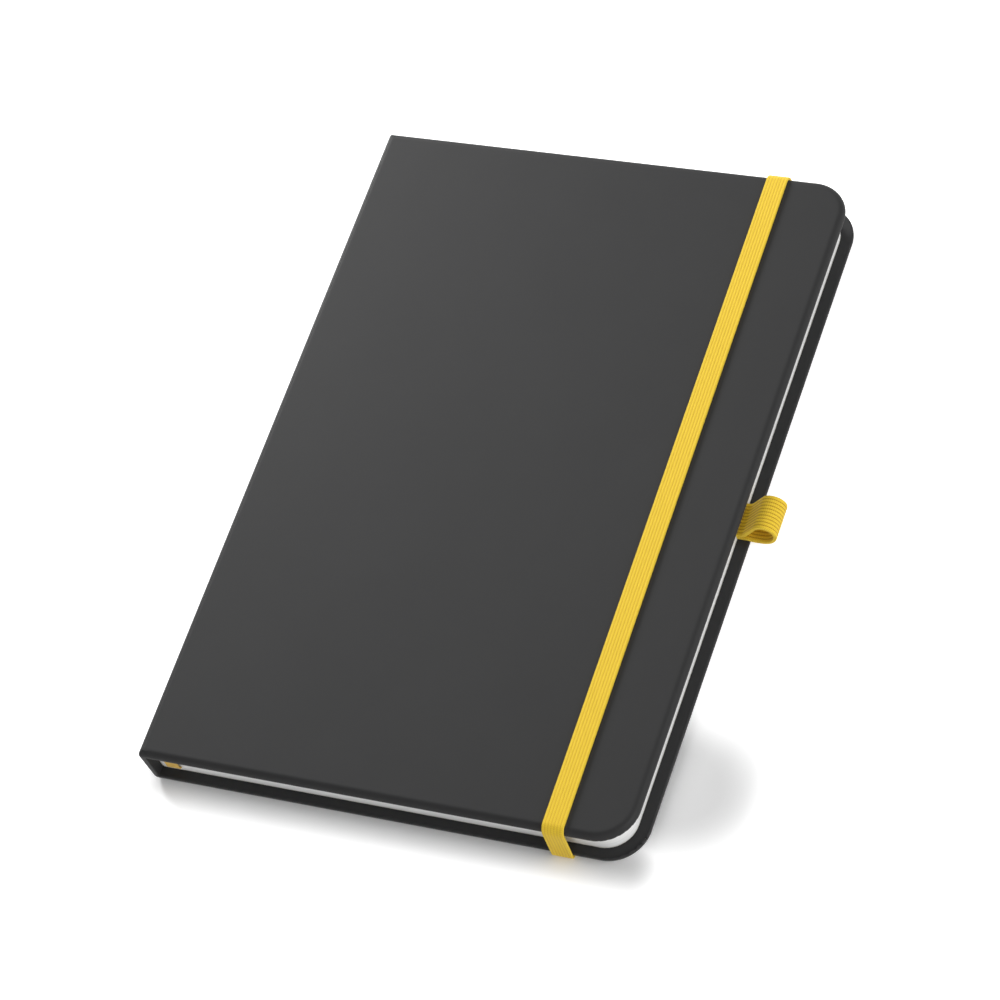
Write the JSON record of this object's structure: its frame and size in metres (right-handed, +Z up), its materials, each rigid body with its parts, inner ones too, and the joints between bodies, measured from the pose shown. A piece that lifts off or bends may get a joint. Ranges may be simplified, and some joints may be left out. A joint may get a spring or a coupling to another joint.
{
  "type": "hardcover notebook",
  "caption": "Closed hardcover notebook with soft dark covers, rounded corners, pale pages, an elastic closing strap, an elastic pen loop and a ribbon marker.",
  "frame": {"origin": "middle of the back cover's outer face", "axes": "+X towards the fore-edge, +Y towards the head, +Z up through the closed notebook"},
  "size_m": [0.154, 0.2118, 0.0159],
  "materials": {
    "board": "grey board",
    "cover_skin": "soft-touch, matt",
    "paper": "plain uncoated",
    "page_edges": "trimmed edges",
    "lining": "plain uncoated",
    "ribbon": "satin weave",
    "elastic": "ribbed elastic weave"
  },
  "bodies": {
    "book": {"back_board": "board", "spine_strip": "board", "back_and_spine_skin": "cover_skin", "rear_endpaper": "paper", "front_flyleaf": "paper", "page_block": "page_edges", "spine_lining": "lining", "ribbon_marker": "ribbon", "elastic_strap": "elastic", "pen_loop": "elastic"},
    "front_cover": {"front_board": "board", "front_skin": "cover_skin", "front_pastedown": "paper"}
  },
  "joints": [
    {"name": "front_cover_hinge", "type": "hinge", "parent": "book", "child": "front_cover", "pos_m": [-0.0704, 0, 0.0151], "axis": [0, -1, 0], "range_deg": [0, 178], "deforming": ["elastic_strap"]}
  ]
}
